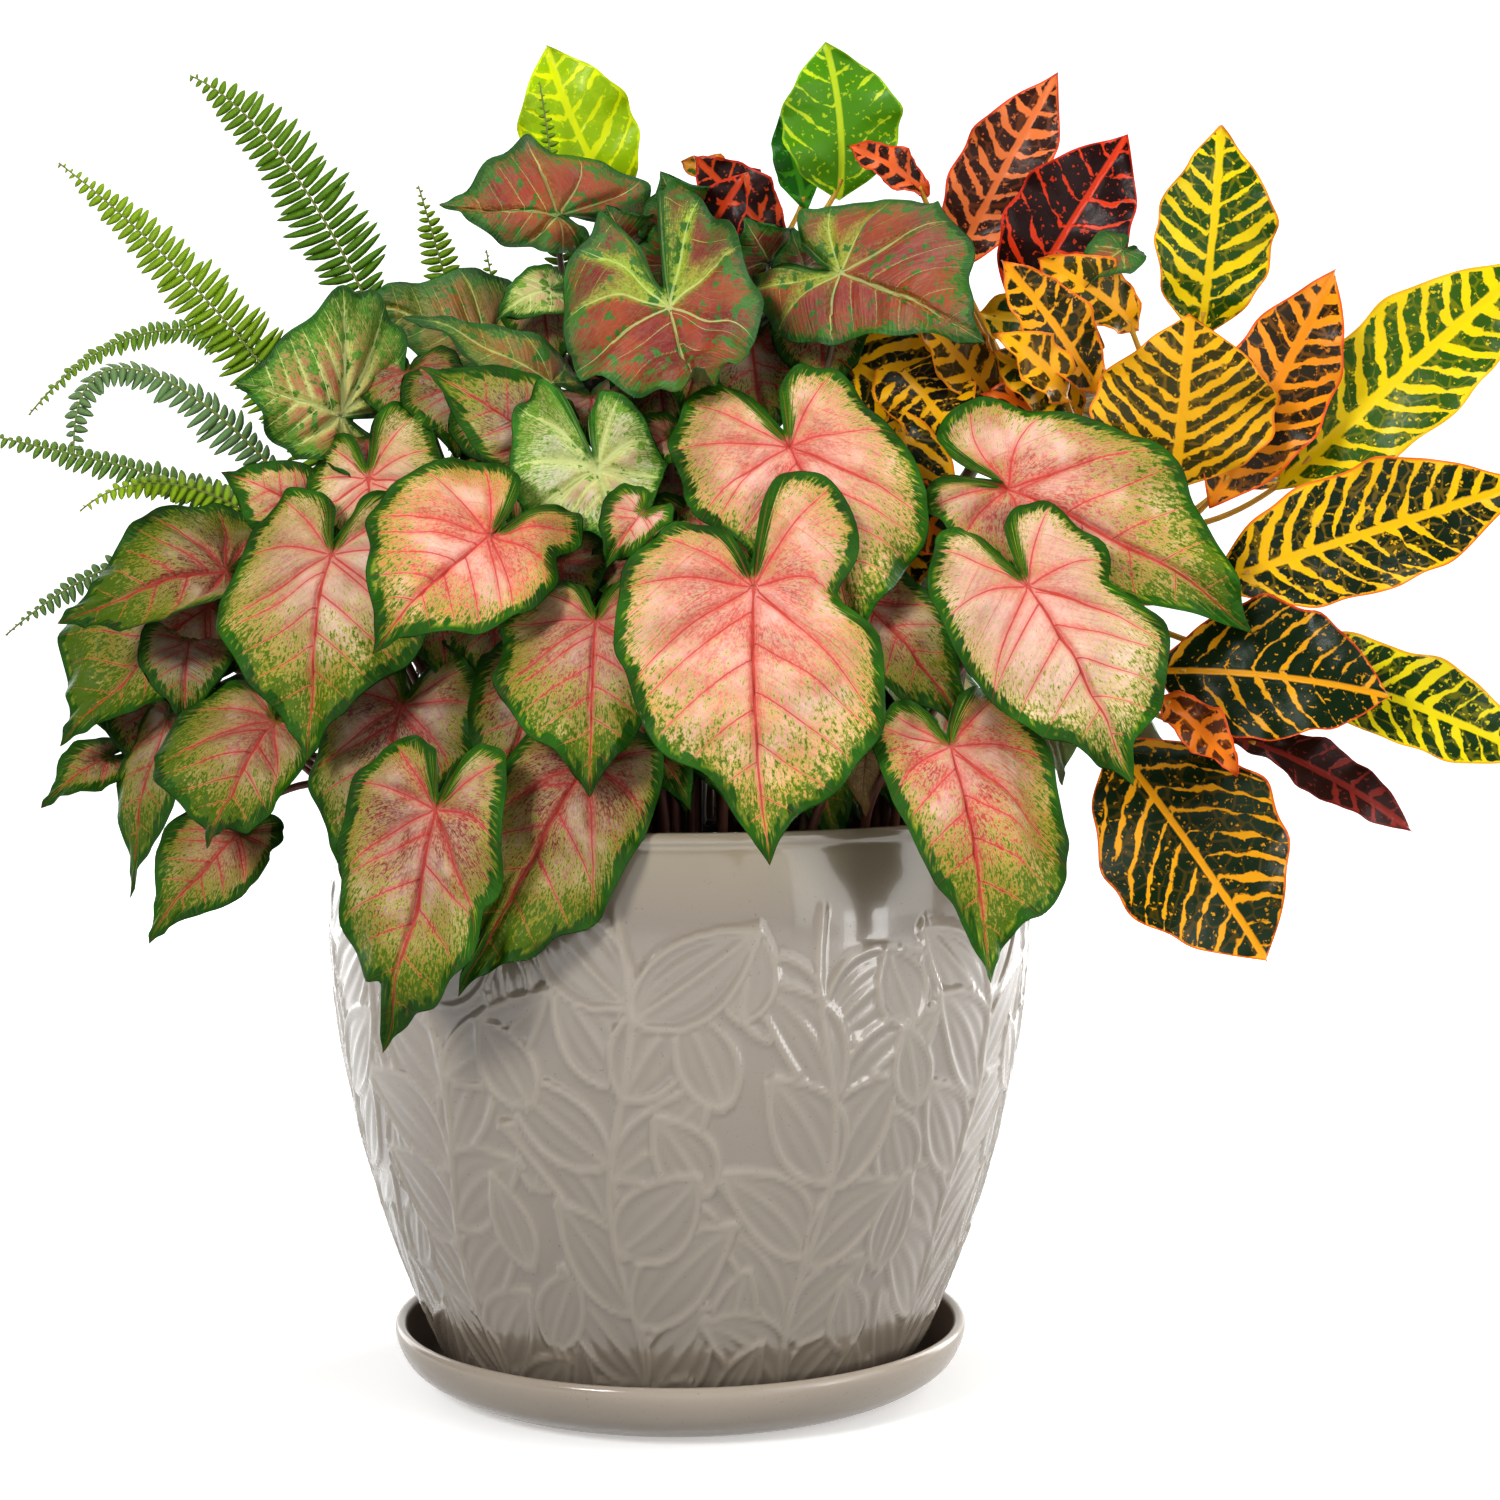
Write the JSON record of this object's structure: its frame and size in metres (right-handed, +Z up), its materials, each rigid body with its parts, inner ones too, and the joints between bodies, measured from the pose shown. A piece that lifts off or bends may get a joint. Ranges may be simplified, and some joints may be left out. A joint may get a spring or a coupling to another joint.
{
  "type": "potted caladium",
  "caption": "Variegated caladium with croton and sword fern in a round glazed pot on its saucer, leaves spreading wide over the rim.",
  "frame": {"origin": "the middle of the saucer's flat underside, on the surface it stands on", "axes": "+Z up; the plant's front, the side that the picture shows, faces -Y"},
  "size_m": [0.6982, 0.423, 0.607],
  "materials": {
    "glaze": "glossy taupe glaze",
    "soil": "matt damp potting mix",
    "pink_leaf": "soft satin leaf, pink with green edge",
    "wine_leaf": "soft satin leaf, wine red and green",
    "cream_leaf": "soft satin leaf, cream and green",
    "withered_leaf": "dry matt leaf",
    "croton_leaf": "glossy leathery leaf, yellow and green",
    "fern_leaf": "matt green frond"
  },
  "bodies": {
    "root": {"saucer": "glaze", "pot": "glaze", "soil": "soil", "caladium_pink_centre": "pink_leaf", "caladium_pink_upper": "pink_leaf", "caladium_pink_right_front": "pink_leaf", "caladium_pink_right_behind": "pink_leaf", "caladium_pink_between": "wine_leaf", "caladium_pink_low_right": "pink_leaf", "caladium_withered": "withered_leaf", "caladium_pale_left": "pink_leaf", "caladium_salmon_left": "pink_leaf", "caladium_dusty_left": "pink_leaf", "caladium_shaded_left": "pink_leaf", "caladium_hanging_left": "pink_leaf", "caladium_hanging_middle": "pink_leaf", "caladium_shaded_middle": "pink_leaf", "caladium_pink_rim": "pink_leaf", "caladium_far_left_upper": "pink_leaf", "caladium_far_left_lower": "pink_leaf", "caladium_far_left_small": "pink_leaf", "caladium_edge_left": "pink_leaf", "caladium_round_left": "pink_leaf", "caladium_low_left": "pink_leaf", "caladium_small_heart": "pink_leaf", "caladium_small_upper": "pink_leaf", "caladium_small_curly": "pink_leaf", "caladium_pale_fan": "pink_leaf", "caladium_salmon_far": "pink_leaf", "caladium_cream_centre": "cream_leaf", "caladium_grey_green": "wine_leaf", "caladium_mottled_left": "wine_leaf", "caladium_mottled_narrow": "wine_leaf", "caladium_mottled_upright": "wine_leaf", "caladium_wine_top": "wine_leaf", "caladium_wine_left": "wine_leaf", "caladium_wine_right": "wine_leaf", "caladium_peach_small": "cream_leaf", "caladium_twisted_small": "wine_leaf", "caladium_back_right_low": "pink_leaf", "caladium_back_right": "pink_leaf", "caladium_back_middle_low": "pink_leaf", "caladium_back_middle": "wine_leaf", "caladium_back_left_low": "pink_leaf", "caladium_back_left": "pink_leaf", "croton_right": "croton_leaf", "croton_middle": "croton_leaf", "croton_back": "croton_leaf", "fern_tall": "fern_leaf", "fern_broad": "fern_leaf", "fern_arched": "fern_leaf", "fern_grey": "fern_leaf", "fern_low": "fern_leaf", "fern_lime": "fern_leaf", "fern_trailing": "fern_leaf", "fern_upright": "fern_leaf", "fern_inner": "fern_leaf", "fern_centre": "fern_leaf", "fern_back_left": "fern_leaf", "fern_back_middle": "fern_leaf"}
  },
  "joints": []
}
